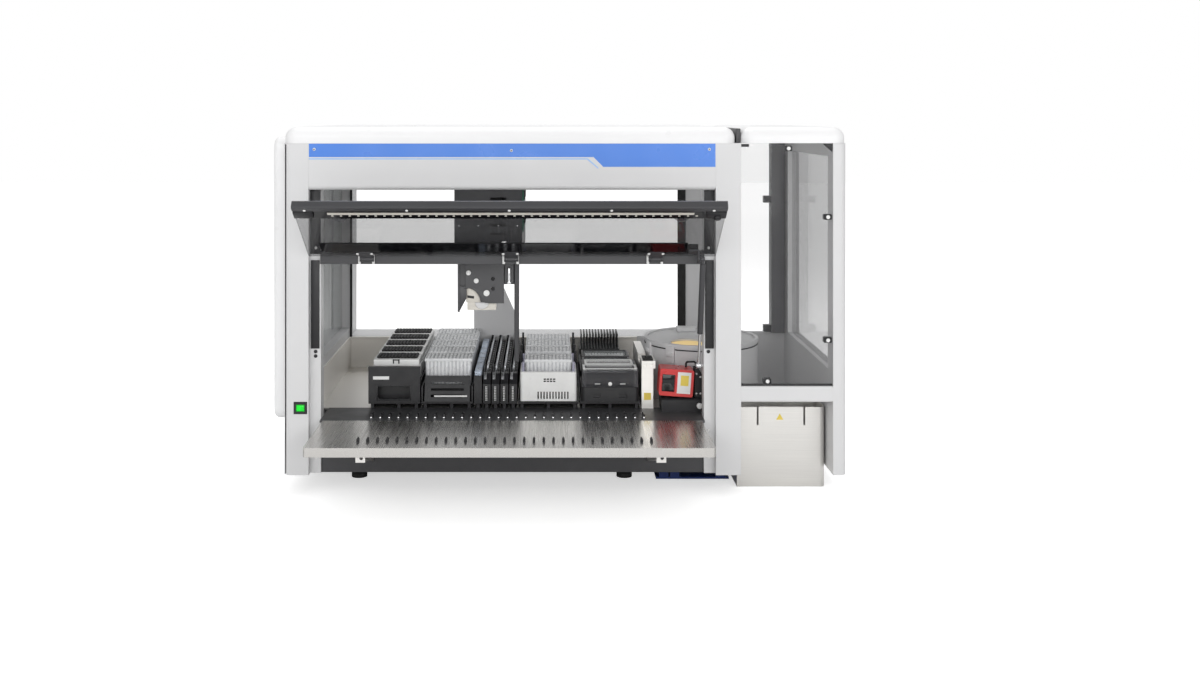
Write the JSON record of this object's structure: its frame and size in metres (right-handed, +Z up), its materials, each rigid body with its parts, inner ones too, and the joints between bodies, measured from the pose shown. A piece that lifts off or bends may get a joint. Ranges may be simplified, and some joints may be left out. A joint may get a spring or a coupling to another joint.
{
  "type": "liquid handling robot",
  "caption": "Enclosed benchtop liquid handler: open front hood, track deck with labware carriers, pipetting arm, centrifuge and extension cabinet.",
  "frame": {"origin": "on the bench, under the middle of the machine's bounding box", "axes": "+X right as seen from the front, +Y to the back, +Z up"},
  "size_m": [1.416, 1.054, 0.903],
  "materials": {
    "dark_enamel": "satin dark grey powder coat",
    "grey_enamel": "satin light grey enamel",
    "white_enamel": "smooth white enamel",
    "blue_enamel": "dark blue enamel",
    "foot_rubber": "matt black rubber",
    "cable_rubber": "black cable sheath",
    "black_plastic": "fine grained black plastic",
    "green_plastic": "translucent green key",
    "red_plastic": "red anodised case",
    "white_plastic": "white and frosted plastic",
    "cream_plastic": "cream plastic",
    "gloss_black": "gloss black",
    "clear_glass": "clear",
    "tinted_glass": "smoke tint",
    "steel": "ground steel",
    "dark_steel": "blackened steel",
    "pin_steel": "black oxide pins",
    "stainless": "brushed stainless sheet",
    "dark_aluminium": "black anodised",
    "rotor_aluminium": "anodised aluminium"
  },
  "bodies": {
    "frame": {"base_chassis": "dark_enamel", "levelling_feet": "foot_rubber", "left_side_frame": "grey_enamel", "right_side_frame": "grey_enamel", "post_trims": "grey_enamel", "left_side_cover": "white_enamel", "power_bezel": "black_plastic", "top_cover": "white_enamel", "front_fascia": "grey_enamel", "rear_housing": "grey_enamel", "windows": "clear_glass", "x_rails": "steel", "deck_plate": "stainless", "front_rail": "dark_enamel", "track_pins": "pin_steel", "deck_walls": "stainless", "loading_tray": "stainless", "tray_brackets": "stainless", "rear_stand": "grey_enamel", "cross_beam": "dark_aluminium", "hinge_pins": "steel", "extension_cover": "white_enamel", "extension_side_frame": "grey_enamel", "extension_panes": "tinted_glass", "extension_bar": "grey_enamel", "pane_clips": "black_plastic", "extension_rear": "grey_enamel", "centrifuge_housing": "grey_enamel", "centrifuge_lid": "grey_enamel", "centrifuge_base": "blue_enamel", "waste_chute": "stainless", "scanner_base": "black_plastic", "scanner_body": "red_plastic", "scanner_cable": "cable_rubber"},
    "power_key": {"power_button": "green_plastic"},
    "hood": {"hood_glass": "tinted_glass", "hood_edge_bar": "dark_aluminium", "hood_plates": "gloss_black", "hood_hinges": "dark_steel"},
    "strut_lower": {"strut_rod": "steel"},
    "strut_upper": {"strut_cylinder": "dark_enamel"},
    "arm": {"arm_housing": "dark_aluminium"},
    "head_slide": {"head_carriage": "dark_aluminium"},
    "head": {"head_plates": "dark_aluminium", "head_cup": "cream_plastic", "reach_bar": "dark_aluminium"},
    "bin": {"waste_bin": "stainless"},
    "rotor": {"centrifuge_rotor": "rotor_aluminium"},
    "tip_set": {"tip_carrier": "black_plastic", "tip_racks": "white_plastic"},
    "rack_set": {"rack_carrier": "black_plastic", "ribbed_racks": "white_plastic"},
    "tile_set": {"tile_carrier": "black_plastic"},
    "slim_set": {"slim_carriers": "black_plastic"},
    "heater_set": {"heater_carrier": "black_plastic", "heater_module": "white_plastic", "heater_racks": "white_plastic"},
    "cooler_set": {"cooler_carrier": "black_plastic", "cooler_module": "black_plastic"}
  },
  "joints": [
    {"name": "hood_swing", "type": "hinge", "parent": "frame", "child": "hood", "pos_m": [0, -0.268, 0.58], "axis": [1, 0, 0], "range_deg": [0, 123]},
    {"name": "strut_tilt", "type": "hinge", "parent": "frame", "child": "strut_lower", "pos_m": [0.35, -0.223, 0.31], "axis": [1, 0, 0], "range_deg": [-12.5, 1]},
    {"name": "strut_stroke", "type": "slide", "parent": "strut_lower", "child": "strut_upper", "axis": [0, -0.3106, 0.9506], "range_m": [-0.06, 0.002]},
    {"name": "arm_travel", "type": "slide", "parent": "frame", "child": "arm", "axis": [1, 0, 0], "range_m": [-0.3, 0.28]},
    {"name": "head_travel", "type": "slide", "parent": "arm", "child": "head_slide", "axis": [0, 1, 0], "range_m": [0, 0.36]},
    {"name": "head_lift", "type": "slide", "parent": "head_slide", "child": "head", "axis": [0, 0, 1], "range_m": [0, 0.15]},
    {"name": "power_press", "type": "slide", "parent": "frame", "child": "power_key", "axis": [0, 1, 0], "range_m": [0, 0.003], "stiffness_N_per_m": 600},
    {"name": "bin_pull", "type": "slide", "parent": "frame", "child": "bin", "axis": [0, -1, 0], "range_m": [0, 0.25]},
    {"name": "rotor_spin", "type": "hinge", "parent": "frame", "child": "rotor", "pos_m": [0.39, 0.062, 0.19], "axis": [0, 0, 1], "continuous": true},
    {"name": "tip_carrier_pull", "type": "slide", "parent": "frame", "child": "tip_set", "axis": [0, -1, 0], "range_m": [0, 0.3]},
    {"name": "rack_carrier_pull", "type": "slide", "parent": "frame", "child": "rack_set", "axis": [0, -1, 0], "range_m": [0, 0.3]},
    {"name": "tile_carrier_pull", "type": "slide", "parent": "frame", "child": "tile_set", "axis": [0, -1, 0], "range_m": [0, 0.3]},
    {"name": "slim_carrier_pull", "type": "slide", "parent": "frame", "child": "slim_set", "axis": [0, -1, 0], "range_m": [0, 0.3]},
    {"name": "heater_carrier_pull", "type": "slide", "parent": "frame", "child": "heater_set", "axis": [0, -1, 0], "range_m": [0, 0.3]},
    {"name": "cooler_carrier_pull", "type": "slide", "parent": "frame", "child": "cooler_set", "axis": [0, -1, 0], "range_m": [0, 0.3]}
  ],
  "couplings": [
    {"joint": "strut_tilt", "follows": "hood_swing", "ratio": -0.0975},
    {"joint": "strut_stroke", "follows": "hood_swing", "m_per_rad": -0.02692}
  ]
}
